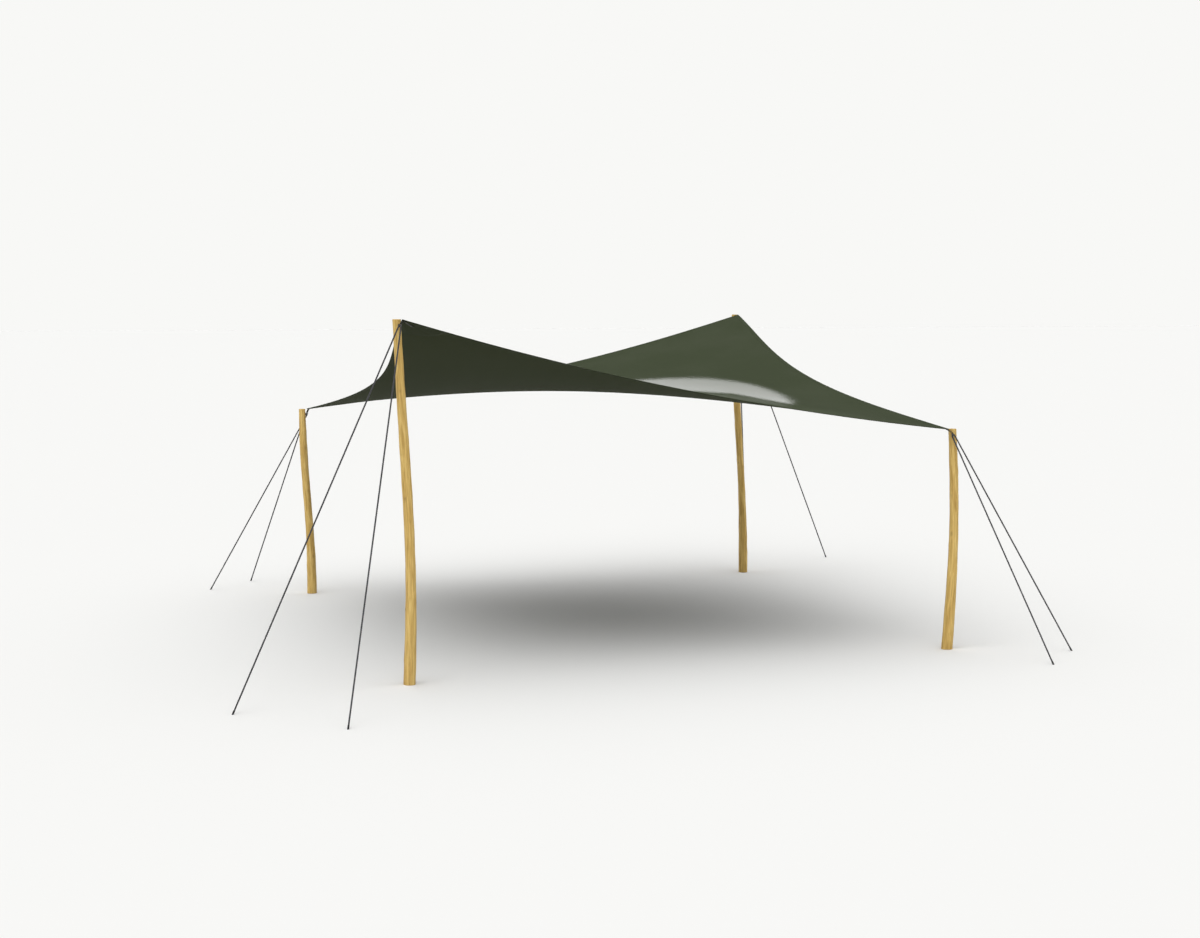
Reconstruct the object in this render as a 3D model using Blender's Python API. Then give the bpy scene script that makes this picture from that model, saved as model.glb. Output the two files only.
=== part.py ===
# Stretch tent: a square canopy of stretched fabric on four crooked timber poles.
# Two opposite corners stand high and two stand low, so the fabric takes a saddle shape.
# Metres, +Z up. The origin is on the ground, under the middle of the canopy.
# +Y points away from the front edge, and +X to the right of someone who faces it.

import bpy
import bmesh
from math import cos, sin, pi, radians
from mathutils import Vector

# Plan and heights
SPACING = 5.0            # distance between neighbouring corners
HIGH_POLE = 3.0
LOW_POLE = 2.0
GAP = 0.0003             # air left between pieces that touch

# Canopy
SHEET_THICKNESS = 0.005
CORNER_DROP = 0.010      # middle of the fabric below the corner's nominal height
EDGE_PULL = 0.257        # how far an edge curves in from the straight line, at its middle
EDGE_PULL_POWER = 1.35   # shape of that curve: more is flatter at the corners
EDGE_SAG = 0.111         # how far an edge hangs below the straight line, at its middle
SHEET_BELLY = 0.008      # how far the sheet's middle hangs below the blend of its edges
HEM_WIDTH = 0.045
PATCH_RADIUS = 0.36      # reinforcement under each corner
PATCH_THICKNESS = 0.0025
SHEET_CELLS = 20
PATCH_RINGS = 4
PATCH_SECTORS = 6

# Poles: how far each one's butt and head stand from the corner's own vertical.
# "across" runs along the crook, "along" runs at right angles to it.
CROOK_ANGLE = radians(-18)
POLE_SIDES = 16
POLE_LIFTS = 14
HEAD_TRIM = 0.008        # pole's top below the corner's nominal height

# Fixings at each pole's head
EYE_RADIUS = 0.015       # to the middle of the ring's wire
EYE_WIRE = 0.004         # radius of the wire
EYE_BELOW = 0.050        # eye's centre below the pole's top
EYE_SHANK = 0.005        # least distance from the timber to the ring
RING_STEPS = 18
WIRE_STEPS = 8
SHANK_RADIUS = 0.0032
SHANK_SIDES = 12
LEAN_STEP = 0.01         # height share over which a pole's lean is measured
COLLAR_RADIUS = 0.011
COLLAR_THICKNESS = 0.0025
LOOP_WIDTH = 0.018
LOOP_THICKNESS = 0.006   # two layers of webbing, one on either side of the wire
LOOP_INSET = 0.006       # from the canopy's corner to the loop, along either edge

# Guy ropes: two from each head, spread over the ground
ROPE_RADIUS = 0.007
ROPE_SIDES = 12
ANCHOR_FAR = 0.5         # share of the pole's height, outwards along one axis
ANCHOR_NEAR = 0.25       # and along the other

# Each corner: butt, middle and head are the pole's widths, butt_end and head_start are the
# height shares between which it keeps its middle width, and eye is the eye's heading in degrees.
CORNERS = {
    "front_left": dict(side=(-1, -1), height=HIGH_POLE, eye=-73,
                       butt=0.100, middle=0.083, head=0.068, butt_end=0.42, head_start=0.60,
                       across=(0.0395, -0.0460), along=(-0.070, 0.016), bow=0.0380, sway=0.0100),
    "front_right": dict(side=(1, -1), height=LOW_POLE, eye=-117,
                        butt=0.102, middle=0.079, head=0.072, butt_end=0.60, head_start=0.78,
                        across=(-0.0025, 0.0365), along=(-0.070, 0.050), bow=0.0355, sway=-0.0015),
    "back_right": dict(side=(1, 1), height=HIGH_POLE, eye=-50,
                       butt=0.101, middle=0.079, head=0.064, butt_end=0.42, head_start=0.78,
                       across=(0.0720, -0.0400), along=(-0.070, 0.024), bow=0.0060, sway=0.0120),
    "back_left": dict(side=(-1, 1), height=LOW_POLE, eye=33,
                      butt=0.102, middle=0.081, head=0.066, butt_end=0.42, head_start=0.78,
                      across=(0.0420, -0.0400), along=(-0.070, -0.050), bow=0.0050, sway=0.0090),
}
RING = ("front_left", "front_right", "back_right", "back_left")
EDGES = ("front", "right", "back", "left")


def clear_scene():
    for item in list(bpy.data.objects):
        bpy.data.objects.remove(item, do_unlink=True)


def make_material(name, colour, roughness, metallic=0.0):
    material = bpy.data.materials.new(name)
    material.use_nodes = True
    shader = material.node_tree.nodes["Principled BSDF"]
    shader.inputs["Base Color"].default_value = (*colour, 1.0)
    shader.inputs["Roughness"].default_value = roughness
    shader.inputs["Metallic"].default_value = metallic
    return material


def add_object(name, vertices, faces, material, smooth_angle=None):
    mesh = bpy.data.meshes.new(name)
    mesh.from_pydata([tuple(v) for v in vertices], [], faces)
    shaper = bmesh.new()
    shaper.from_mesh(mesh)
    bmesh.ops.recalc_face_normals(shaper, faces=shaper.faces)
    shaper.to_mesh(mesh)
    shaper.free()
    if smooth_angle is not None:
        mesh.shade_smooth()
        mesh.set_sharp_from_angle(angle=smooth_angle)
    mesh.materials.append(material)
    item = bpy.data.objects.new(name, mesh)
    bpy.context.collection.objects.link(item)
    return item


def smooth_step(low, high, value):
    x = min(max((value - low) / (high - low), 0.0), 1.0)
    return x * x * (3 - 2 * x)


# The fabric's middle surface

def corner_point(name):
    corner = CORNERS[name]
    x, y = corner["side"]
    return Vector((x * SPACING / 2, y * SPACING / 2, corner["height"] - CORNER_DROP))


def edge_point(first, last, t):
    # A straight line between two corners, pulled in towards the middle and hanging down.
    start = corner_point(first)
    end = corner_point(last)
    inwards = -(start + end) / 2
    inwards.z = 0
    wave = sin(pi * min(max(t, 0.0), 1.0))
    point = start.lerp(end, t) + inwards.normalized() * EDGE_PULL * wave ** EDGE_PULL_POWER
    point.z -= 4 * EDGE_SAG * t * (1 - t)
    return point


def sheet_point(u, v):
    # The surface that blends the four edges: u runs left to right and v front to back.
    front = edge_point("front_left", "front_right", u)
    back = edge_point("back_left", "back_right", u)
    left = edge_point("front_left", "back_left", v)
    right = edge_point("front_right", "back_right", v)
    corners = [corner_point(name) for name in RING]
    flat = corners[0].lerp(corners[1], u).lerp(corners[3].lerp(corners[2], u), v)
    point = front.lerp(back, v) + left.lerp(right, u) - flat
    point.z -= 16 * SHEET_BELLY * u * (1 - u) * v * (1 - v)
    return point


def corner_to_sheet(name, a, b):
    # Surface coordinates of a place that lies a and b in from a corner, as shares of the side.
    x, y = CORNERS[name]["side"]
    return (a if x < 0 else 1 - a, b if y < 0 else 1 - b)


def thicken(points, faces, below, above):
    # Closes a sheet of points into a solid between two heights over the middle surface.
    count = len(points)
    vertices = [p + Vector((0, 0, above)) for p in points]
    vertices += [p - Vector((0, 0, below)) for p in points]
    solid = [tuple(f) for f in faces]
    solid += [tuple(count + i for i in reversed(f)) for f in faces]
    borders = {}
    for face in faces:
        for i, start in enumerate(face):
            end = face[(i + 1) % len(face)]
            if (end, start) in borders:
                del borders[(end, start)]
            else:
                borders[(start, end)] = True
    for start, end in borders:
        solid.append((end, start, count + start))
        solid.append((end, count + start, count + end))
    return vertices, solid


def grid_faces(columns, rows):
    # Triangles over a grid of points that is stored row by row.
    faces = []
    for row in range(rows):
        for column in range(columns):
            a = row * (columns + 1) + column
            b = a + 1
            c = a + columns + 1
            d = c + 1
            faces.append((a, b, d))
            faces.append((a, d, c))
    return faces


def make_canopy(material):
    inset = (HEM_WIDTH + GAP) / SPACING
    span = 1 - 2 * inset
    steps = [inset + span * i / SHEET_CELLS for i in range(SHEET_CELLS + 1)]
    points = [sheet_point(u, v) for v in steps for u in steps]
    half = SHEET_THICKNESS / 2
    vertices, faces = thicken(points, grid_faces(SHEET_CELLS, SHEET_CELLS), half, half)
    add_object("canopy", vertices, faces, material, radians(30))


def make_hem(edge, material):
    # A band along one edge, mitred at both ends.
    width = HEM_WIDTH / SPACING
    mitre = GAP / SPACING
    points = []
    for depth in (0.0, width):
        for i in range(SHEET_CELLS + 1):
            t = depth + mitre + (1 - 2 * (depth + mitre)) * i / SHEET_CELLS
            places = {"front": (t, depth), "back": (t, 1 - depth),
                      "left": (depth, t), "right": (1 - depth, t)}
            points.append(sheet_point(*places[edge]))
    half = SHEET_THICKNESS / 2
    vertices, faces = thicken(points, grid_faces(SHEET_CELLS, 1), half, half)
    add_object("hem_" + edge, vertices, faces, material, radians(30))


def make_patch(corner, material):
    # A quarter disc of a second layer of fabric under the corner.
    margin = 2 * GAP / SPACING
    reach = PATCH_RADIUS / SPACING
    points = [sheet_point(*corner_to_sheet(corner, margin, margin))]
    for ring in range(1, PATCH_RINGS + 1):
        radius = reach * ring / PATCH_RINGS
        for sector in range(PATCH_SECTORS + 1):
            angle = pi / 2 * sector / PATCH_SECTORS
            place = (margin + radius * cos(angle), margin + radius * sin(angle))
            points.append(sheet_point(*corner_to_sheet(corner, *place)))
    faces = [(0, 1 + s, 2 + s) for s in range(PATCH_SECTORS)]
    across = PATCH_SECTORS + 1
    for ring in range(PATCH_RINGS - 1):
        for sector in range(PATCH_SECTORS):
            a = 1 + ring * across + sector
            faces.append((a, a + across, a + across + 1))
            faces.append((a, a + across + 1, a + 1))
    top = SHEET_THICKNESS / 2 + 2 * GAP
    vertices, faces = thicken(points, faces, top + PATCH_THICKNESS, -top)
    add_object("corner_patch_" + corner, vertices, faces, material, radians(30))


# The poles

def pole_top(name):
    return CORNERS[name]["height"] - HEAD_TRIM


def pole_axis(name, share):
    # Middle of the pole at a share of its height.
    corner = CORNERS[name]
    x, y = corner["side"]
    across = corner["across"][0] * (1 - share) + corner["across"][1] * share
    across += corner["bow"] * sin(pi * share) + corner["sway"] * sin(2 * pi * share)
    along = corner["along"][0] * (1 - share) + corner["along"][1] * share
    crook = Vector((cos(CROOK_ANGLE), sin(CROOK_ANGLE), 0))
    beside = Vector((-sin(CROOK_ANGLE), cos(CROOK_ANGLE), 0))
    foot = Vector((x * SPACING / 2, y * SPACING / 2, 0))
    return foot + crook * across + beside * along + Vector((0, 0, pole_top(name) * share))


def pole_radius(name, share):
    corner = CORNERS[name]
    butt = (corner["butt"] - corner["middle"]) * (1 - smooth_step(0, corner["butt_end"], share))
    head = (corner["head"] - corner["middle"]) * smooth_step(corner["head_start"], 1, share)
    return (corner["middle"] + butt + head) / 2


def tube_faces(sides, lifts):
    # Walls and two closed ends over rings of points stored one after another.
    faces = []
    for lift in range(lifts):
        for side in range(sides):
            a = lift * sides + side
            b = lift * sides + (side + 1) % sides
            faces.append((a, b, b + sides, a + sides))
    faces.append(tuple(range(sides - 1, -1, -1)))
    faces.append(tuple(range(lifts * sides, (lifts + 1) * sides)))
    return faces


def make_pole(name, material):
    vertices = []
    for lift in range(POLE_LIFTS + 1):
        share = lift / POLE_LIFTS
        centre = pole_axis(name, share)
        radius = pole_radius(name, share)
        for side in range(POLE_SIDES):
            angle = 2 * pi * side / POLE_SIDES
            vertices.append(centre + radius * Vector((cos(angle), sin(angle), 0)))
    add_object("pole_" + name, vertices, tube_faces(POLE_SIDES, POLE_LIFTS), material, radians(40))


# Eyes, loops and guy ropes

def anchor_points(name):
    # The two places where a corner's guy ropes meet the ground.
    x, y = CORNERS[name]["side"]
    height = CORNERS[name]["height"]
    far = SPACING / 2 + ANCHOR_FAR * height
    near = SPACING / 2 + ANCHOR_NEAR * height
    return (Vector((x * far, y * near, 0)), Vector((x * near, y * far, 0)))


def eye_frame(name):
    # Centre of the eye's ring, the way its shank points out of the timber,
    # the way the ropes leave in the ring's plane, and the ring's normal.
    share = 1 - EYE_BELOW / pole_top(name)
    axis = pole_axis(name, share)
    lean = (pole_axis(name, share + LEAN_STEP) - axis).normalized()
    heading = radians(CORNERS[name]["eye"])
    out = Vector((cos(heading), sin(heading), 0))
    out = (out - lean * out.dot(lean)).normalized()
    to_corner = corner_point(name) - axis
    to_corner.z = 0
    reach = pole_radius(name, share) + EYE_SHANK + EYE_RADIUS + EYE_WIRE
    distance = max(to_corner.length, reach)
    centre = axis + out * distance
    middle = sum(anchor_points(name), Vector()) / 2
    pull = middle - centre
    pull = (pull - out * pull.dot(out)).normalized()
    shank = distance - EYE_RADIUS - pole_radius(name, share) - GAP
    return centre, out, pull, out.cross(pull), shank


def add_cutter(name, vertices, faces, material):
    item = add_object(name, vertices, faces, material)
    item.hide_render = True
    item.display_type = "WIRE"
    return item


def disc_column(start, direction, stations, sides):
    # A turned shape: stations are pairs of distance along the direction and radius.
    side = direction.orthogonal().normalized()
    other = direction.cross(side)
    vertices = []
    for distance, radius in stations:
        for i in range(sides):
            angle = 2 * pi * i / sides
            spoke = side * cos(angle) + other * sin(angle)
            vertices.append(start + direction * distance + spoke * radius)
    return vertices, tube_faces(sides, len(stations) - 1)


def make_eye(name, material):
    # A ring of steel wire on a shank with a collar that bears on the timber.
    centre, out, pull, normal, shank = eye_frame(name)
    vertices = []
    for i in range(RING_STEPS):
        angle = 2 * pi * (i + 0.5) / RING_STEPS
        spoke = out * cos(angle) + pull * sin(angle)
        for j in range(WIRE_STEPS):
            turn = 2 * pi * (j + 0.5) / WIRE_STEPS
            offset = spoke * (EYE_RADIUS + EYE_WIRE * cos(turn)) + normal * EYE_WIRE * sin(turn)
            vertices.append(centre + offset)
    faces = []
    for i in range(RING_STEPS):
        after = (i + 1) % RING_STEPS
        for j in range(WIRE_STEPS):
            beside = (j + 1) % WIRE_STEPS
            faces.append((i * WIRE_STEPS + j, i * WIRE_STEPS + beside,
                          after * WIRE_STEPS + beside, after * WIRE_STEPS + j))
    ring = add_object("head_eye_" + name, vertices, faces, material, radians(50))
    face = shank - COLLAR_THICKNESS
    stations = [(0, SHANK_RADIUS), (face, SHANK_RADIUS), (face, COLLAR_RADIUS), (shank, COLLAR_RADIUS)]
    column = disc_column(centre - out * EYE_RADIUS, -out, stations, SHANK_SIDES)
    stem = add_cutter("shank_" + name, *column, material)
    union = ring.modifiers.new("shank", "BOOLEAN")
    union.operation = "UNION"
    union.solver = "EXACT"
    union.object = stem


def make_loop(name, material):
    # A short webbing tab from the canopy's corner down to the eye.
    centre, out, pull, normal, shank = eye_frame(name)
    near = LOOP_INSET / SPACING
    far = (LOOP_INSET + LOOP_WIDTH) / SPACING
    drop = SHEET_THICKNESS / 2 + PATCH_THICKNESS + 3 * GAP
    top = []
    for place in ((near, near), (far, near), (far, far), (near, far)):
        top.append(sheet_point(*corner_to_sheet(name, *place)) - Vector((0, 0, drop)))
    seat = centre - pull * (EYE_RADIUS + EYE_WIRE + GAP)
    corners = [seat + out * (LOOP_WIDTH / 2 * i) + normal * (LOOP_THICKNESS / 2 * j)
               for i, j in ((-1, -1), (1, -1), (1, 1), (-1, 1))]
    # Start the lower outline at the point nearest the upper one, and turn the same way.
    middle = sum(top, Vector()) / 4
    turn = (top[1] - top[0]).cross(top[2] - top[1]).z
    if turn * (corners[1] - corners[0]).cross(corners[2] - corners[1]).z < 0:
        corners.reverse()
    start = min(range(4), key=lambda i: sum(((top[k] - middle)
                                             - (corners[(i + k) % 4] - seat)).length
                                            for k in range(4)))
    corners = corners[start:] + corners[:start]
    vertices = corners + top
    faces = [(3, 2, 1, 0), (4, 5, 6, 7)]
    faces += [(i, (i + 1) % 4, 4 + (i + 1) % 4, 4 + i) for i in range(4)]
    add_object("corner_loop_" + name, vertices, faces, material)


def make_rope(name, index, material):
    # A straight rope from the side of the eye's wire to the ground, cut level with it.
    centre, out, pull, normal, shank = eye_frame(name)
    anchors = anchor_points(name)
    side = 1 if (anchors[index] - anchors[1 - index]).dot(normal) > 0 else -1
    start = centre + pull * EYE_RADIUS + normal * side * (EYE_WIRE + ROPE_RADIUS + GAP)
    run = (anchors[index] - start).normalized()
    start -= run * ROPE_RADIUS
    across = run.orthogonal().normalized()
    other = run.cross(across)
    top = []
    foot = []
    for i in range(ROPE_SIDES):
        angle = 2 * pi * i / ROPE_SIDES
        spoke = (across * cos(angle) + other * sin(angle)) * ROPE_RADIUS
        top.append(start + spoke)
        foot.append(anchors[index] + spoke - run * (spoke.z / run.z))
    faces = tube_faces(ROPE_SIDES, 1)
    add_object("guy_rope_%s_%d" % (name, index + 1), foot + top, faces, material, radians(40))


def build():
    clear_scene()
    fabric = make_material("canopy fabric", (0.050, 0.062, 0.038), 0.85)
    webbing = make_material("hem fabric", (0.030, 0.038, 0.024), 0.85)
    timber = make_material("pole timber", (0.560, 0.370, 0.110), 0.65)
    steel = make_material("eye steel", (0.220, 0.225, 0.230), 0.40, 1.0)
    cordage = make_material("guy rope", (0.075, 0.075, 0.080), 0.80)
    make_canopy(fabric)
    for edge in EDGES:
        make_hem(edge, webbing)
    for name in RING:
        make_patch(name, fabric)
        make_pole(name, timber)
        make_eye(name, steel)
        make_loop(name, webbing)
        for index in range(2):
            make_rope(name, index, cordage)


build()
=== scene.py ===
import math
import random

import bmesh
import bpy
import numpy as np
from mathutils import Matrix, Vector


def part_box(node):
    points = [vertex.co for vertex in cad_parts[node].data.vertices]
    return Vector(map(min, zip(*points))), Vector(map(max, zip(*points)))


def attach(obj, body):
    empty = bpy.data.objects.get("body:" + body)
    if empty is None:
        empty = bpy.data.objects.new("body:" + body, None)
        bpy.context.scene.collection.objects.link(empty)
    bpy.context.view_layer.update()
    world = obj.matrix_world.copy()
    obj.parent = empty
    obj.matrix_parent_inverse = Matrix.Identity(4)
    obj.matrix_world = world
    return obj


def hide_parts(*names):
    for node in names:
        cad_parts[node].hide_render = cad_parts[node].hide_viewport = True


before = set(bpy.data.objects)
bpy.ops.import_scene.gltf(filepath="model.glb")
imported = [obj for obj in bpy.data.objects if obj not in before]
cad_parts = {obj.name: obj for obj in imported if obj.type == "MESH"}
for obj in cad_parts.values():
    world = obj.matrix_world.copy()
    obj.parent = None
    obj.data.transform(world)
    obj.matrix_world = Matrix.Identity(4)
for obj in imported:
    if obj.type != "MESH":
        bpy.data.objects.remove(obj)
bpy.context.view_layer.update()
print("frame loaded")

# Metres, +Z up, origin on the ground under the middle of the canopy.
# The two high corners are the front left and the back right.

body = "root"
cornerSides = {
    "front_left": (-1, -1),
    "front_right": (1, -1),
    "back_right": (1, 1),
    "back_left": (-1, 1),
}
edgeEnds = {
    "front": ("front_left", "front_right"),
    "right": ("front_right", "back_right"),
    "back": ("back_left", "back_right"),
    "left": ("front_left", "back_left"),
}
fullTurn = 2 * math.pi


# Nodes

def feed(tree, node, inputs):
    # Links an input to a socket, or sets it to a value.
    for key, value in inputs.items():
        if isinstance(value, bpy.types.NodeSocket):
            tree.links.new(value, node.inputs[key])
        else:
            node.inputs[key].default_value = value


def addNode(tree, kind, inputs=None, **settings):
    # Adds a node and returns its outputs.
    node = tree.nodes.new(kind)
    for key, value in settings.items():
        setattr(node, key, value)
    feed(tree, node, inputs or {})
    return node.outputs


def addGroup(tree, group, inputs):
    return addNode(tree, "ShaderNodeGroup", inputs, node_tree=group)


def mathNode(tree, operation, a, b=0.0, c=0.0):
    return addNode(tree, "ShaderNodeMath", {0: a, 1: b, 2: c}, operation=operation)[0]


def product(tree, first, *others):
    for value in others:
        first = mathNode(tree, "MULTIPLY", first, value)
    return first


def rescale(tree, value, factor, start):
    return mathNode(tree, "MULTIPLY_ADD", value, factor, start)


def waveNode(tree, angle):
    # A sine between 0 and 1.
    return rescale(tree, mathNode(tree, "SINE", angle), 0.5, 0.5)


def splitNode(tree, vector):
    return addNode(tree, "ShaderNodeSeparateXYZ", {0: vector})


def noiseNode(tree, vector, scale, detail, roughness=0.5, distortion=0.0):
    return addNode(tree, "ShaderNodeTexNoise",
                   {"Vector": vector, "Scale": scale, "Detail": detail, "Roughness": roughness,
                    "Distortion": distortion})["Fac"]


def bumpNode(tree, height, strength, distance, below=None):
    inputs = {"Height": height, "Strength": strength, "Distance": distance}
    if below is not None:
        inputs["Normal"] = below
    return addNode(tree, "ShaderNodeBump", inputs)["Normal"]


def mixColour(tree, factor, a, b, blend="MIX"):
    return addNode(tree, "ShaderNodeMix", {0: factor, 6: a, 7: b}, data_type="RGBA",
                   blend_type=blend)[2]


def shadeBy(tree, colour, factor):
    grey = addNode(tree, "ShaderNodeCombineColor", {0: factor, 1: factor, 2: factor})[0]
    return mixColour(tree, 1.0, colour, grey, "MULTIPLY")


def rampNode(tree, factor, stops):
    node = tree.nodes.new("ShaderNodeValToRGB")
    feed(tree, node, {"Fac": factor})
    ramp = node.color_ramp
    while len(ramp.elements) < len(stops):
        ramp.elements.new(0.5)
    for element, (place, colour) in zip(ramp.elements, stops):
        element.position = place
        element.color = (*colour, 1)
    return node.outputs["Color"]


def newTree(name, kind, inputs, outputs):
    # inputs holds each label's kind and value, and outputs each label's kind.
    tree = bpy.data.node_groups.new(name, kind + "NodeTree")
    for label, (socketKind, value) in inputs.items():
        socket = tree.interface.new_socket(label, in_out="INPUT",
                                           socket_type="NodeSocket" + socketKind)
        if value is not None:
            socket.default_value = value
    for label, socketKind in outputs.items():
        tree.interface.new_socket(label, in_out="OUTPUT", socket_type="NodeSocket" + socketKind)
    return tree, addNode(tree, "NodeGroupInput"), tree.nodes.new("NodeGroupOutput")


def makeMottleGroup():
    # Slow changes of tone over a surface: the colour is made lighter and darker by Amount.
    tree, given, result = newTree(
        "mottle", "Shader",
        {"Vector": ("Vector", None), "Colour": ("Color", (1, 1, 1, 1)), "Scale": ("Float", 2.0),
         "Amount": ("Float", 0.1)},
        {"Colour": "Color", "Value": "Float"})
    noise = noiseNode(tree, given["Vector"], given["Scale"], 4.0, 0.55)
    swing = product(tree, mathNode(tree, "SUBTRACT", noise, 0.5), given["Amount"])
    toned = shadeBy(tree, given["Colour"], rescale(tree, swing, 2.0, 1.0))
    feed(tree, result, {"Colour": toned, "Value": noise})
    return tree


def makeKnitGroup():
    # Rows of small loops, like the face of a warp knit. Vector is in metres.
    tree, given, result = newTree(
        "knit", "Shader",
        {"Vector": ("Vector", None), "Wales": ("Float", 420.0), "Courses": ("Float", 560.0)},
        {"Height": "Float"})
    parts = splitNode(tree, given["Vector"])
    across = product(tree, parts["X"], given["Wales"], fullTurn)
    along = product(tree, parts["Y"], given["Courses"], fullTurn)
    zigzag = product(tree, mathNode(tree, "SINE", along), 0.9)
    wale = mathNode(tree, "ABSOLUTE", mathNode(tree, "SINE", mathNode(tree, "ADD", across, zigzag)))
    course = rescale(tree, mathNode(tree, "COSINE", along), 0.25, 0.75)
    feed(tree, result, {"Height": product(tree, wale, course)})
    return tree


def makeDustGroup():
    # Pale dust that gathers in patches. The mask goes from 0, clean, to 1.
    tree, given, result = newTree(
        "dust", "Shader",
        {"Vector": ("Vector", None), "Colour": ("Color", (1, 1, 1, 1)),
         "Dust": ("Color", (0.42, 0.40, 0.36, 1)), "Amount": ("Float", 0.1),
         "Scale": ("Float", 3.0)},
        {"Colour": "Color", "Mask": "Float"})
    wide = noiseNode(tree, given["Vector"], given["Scale"], 5.0)
    spots = noiseNode(tree, given["Vector"], product(tree, given["Scale"], 40), 2.0)
    spread = addNode(tree, "ShaderNodeMapRange",
                     {"Value": wide, "From Min": 0.45, "From Max": 0.75})[0]
    mask = product(tree, spread, spots, given["Amount"])
    feed(tree, result, {"Colour": mixColour(tree, mask, given["Colour"], given["Dust"]),
                        "Mask": mask})
    return tree


def makeStreakGroup():
    # Long grain along Z of a straightened log, with fine fibres over broad bands.
    tree, given, result = newTree(
        "streaks", "Shader",
        {"Vector": ("Vector", None), "Across": ("Float", 60.0), "Along": ("Float", 1.4)},
        {"Bands": "Float", "Fibres": "Float"})
    parts = splitNode(tree, given["Vector"])

    def layer(share, stretch, detail, distortion):
        across = product(tree, given["Across"], share)
        along = product(tree, given["Along"], stretch)
        place = addNode(tree, "ShaderNodeCombineXYZ",
                        {0: product(tree, parts["X"], across), 1: product(tree, parts["Y"], across),
                         2: product(tree, parts["Z"], along)})[0]
        return noiseNode(tree, place, 1.0, detail, 0.6, distortion)

    feed(tree, result, {"Bands": layer(1.0, 1.0, 4.0, 0.4), "Fibres": layer(5.0, 3.0, 6.0, 0.2)})
    return tree


mottleGroup = makeMottleGroup()
knitGroup = makeKnitGroup()
dustGroup = makeDustGroup()
streakGroup = makeStreakGroup()


# Materials

# The colours of the canopy's underside, the hems' lower side and the corner patches under the sheet
# are the top's green darkened to about half: painted shade for the side that faces the floor.
fabricLooks = {
    "canopyTop": {"colour": (0.0535, 0.0660, 0.0365), "coat": 0.16, "dust": 0.05, "knit": 0.25},
    "canopyUnderPaintedShade": {"colour": (0.0255, 0.0310, 0.0130), "coat": 0.0, "dust": 0.01, "knit": 0.25},
    "hemUnderPaintedShade": {"colour": (0.0260, 0.0315, 0.0155), "coat": 0.0, "dust": 0.03, "knit": 0.30},
    "hemTop": {"colour": (0.0535, 0.0660, 0.0365), "coat": 0.16, "dust": 0.05, "knit": 0.30},
    "patchPaintedShade": {"colour": (0.0270, 0.0325, 0.0158), "coat": 0.0, "dust": 0.01, "knit": 0.30},
}

# A pair holds the colour of a pattern's dips and of its tops. For the webbing, rope and whipping
# the darker dips are painted shade in the hollows of the weave, strands and turns; for the end
# grain the pair is the colour of its rings.
finishColours = {
    "webbing": ((0.016, 0.018, 0.014, 1), (0.034, 0.038, 0.028, 1)),
    "thread": (0.020, 0.024, 0.015, 1),
    "knot": (0.230, 0.120, 0.035, 1),
    "footDust": (0.30, 0.25, 0.17, 1),
    "endGrain": ((0.500, 0.330, 0.120, 1), (0.720, 0.540, 0.260, 1)),
    "steel": (0.200, 0.205, 0.215, 1),
    "rope": ((0.045, 0.045, 0.050, 1), (0.095, 0.095, 0.100, 1)),
    "whipping": ((0.012, 0.012, 0.013, 1), (0.035, 0.035, 0.037, 1)),
}

timberBands = [
    (0.30, (0.480, 0.290, 0.070)), (0.45, (0.650, 0.420, 0.120)),
    (0.57, (0.790, 0.545, 0.175)), (0.70, (0.900, 0.660, 0.250)),
]


def newMaterial(name, settings):
    # Constant sockets are set on the shader itself. Returns the material, its tree and shader.
    material = bpy.data.materials.new(name)
    material.use_nodes = True
    tree = material.node_tree
    shader = tree.nodes["Principled BSDF"]
    feed(tree, shader, settings)
    return material, tree, shader


def attributeNode(tree, name):
    return addNode(tree, "ShaderNodeAttribute", attribute_name=name, attribute_type="GEOMETRY")


def mottled(tree, place, colour, scale, amount):
    return addGroup(tree, mottleGroup, {"Vector": place, "Colour": colour, "Scale": scale,
                                        "Amount": amount})


def finishLook(tree, shader, colour, pattern, rough, bump=None):
    # rough is the pattern's factor and start, and bump its strength, distance and normal below.
    feed(tree, shader, {"Base Color": colour, "Roughness": rescale(tree, pattern, *rough)})
    if bump:
        feed(tree, shader, {"Normal": bumpNode(tree, pattern, *bump)})


def makeFabric(name):
    look = fabricLooks[name]
    material, tree, shader = newMaterial(name, {
        "Sheen Weight": 0.03, "Sheen Roughness": 0.5, "Sheen Tint": (0.75, 0.85, 0.62, 1),
        "Specular IOR Level": 0.03, "Coat Weight": look["coat"], "Coat Roughness": 0.03,
        "Coat IOR": 1.5})
    place = addNode(tree, "ShaderNodeUVMap")["UV"]
    knit = addGroup(tree, knitGroup, {"Vector": place})["Height"]
    tone = mottled(tree, place, (*look["colour"], 1), 0.9, 0.05)
    fine = mottled(tree, place, tone["Colour"], 60.0, 0.10)
    # The knit's hollows are darkened and its loop tops lightened: painted shade and light on the
    # knit's relief.
    knitReliefShaded = shadeBy(tree, fine["Colour"], rescale(tree, knit, 0.30, 0.82))
    dusty = addGroup(tree, dustGroup, {"Vector": place, "Colour": knitReliefShaded, "Amount": look["dust"],
                                       "Scale": 1.2})
    slub = bumpNode(tree, noiseNode(tree, place, 38.0, 3.0, 0.7), 0.35, 0.004)
    feed(tree, shader, {"Base Color": dusty["Colour"],
                        "Roughness": rescale(tree, fine["Value"], 0.16, 0.74),
                        "Normal": bumpNode(tree, knit, look["knit"], 0.0006, slub)})
    if look["coat"]:
        # Fine unevenness of the coating, drawn out along one way, blurs the edge of a reflection.
        drawn = addNode(tree, "ShaderNodeMapping", {"Vector": place, "Rotation": (0, 0, -0.35),
                                                    "Scale": (0.5, 1.67, 1.0)},
                        vector_type="TEXTURE")[0]
        crease = noiseNode(tree, drawn, 30.0, 2.0)
        feed(tree, shader, {"Coat Normal": bumpNode(tree, crease, 1.0, 0.0006)})
    return material


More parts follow.
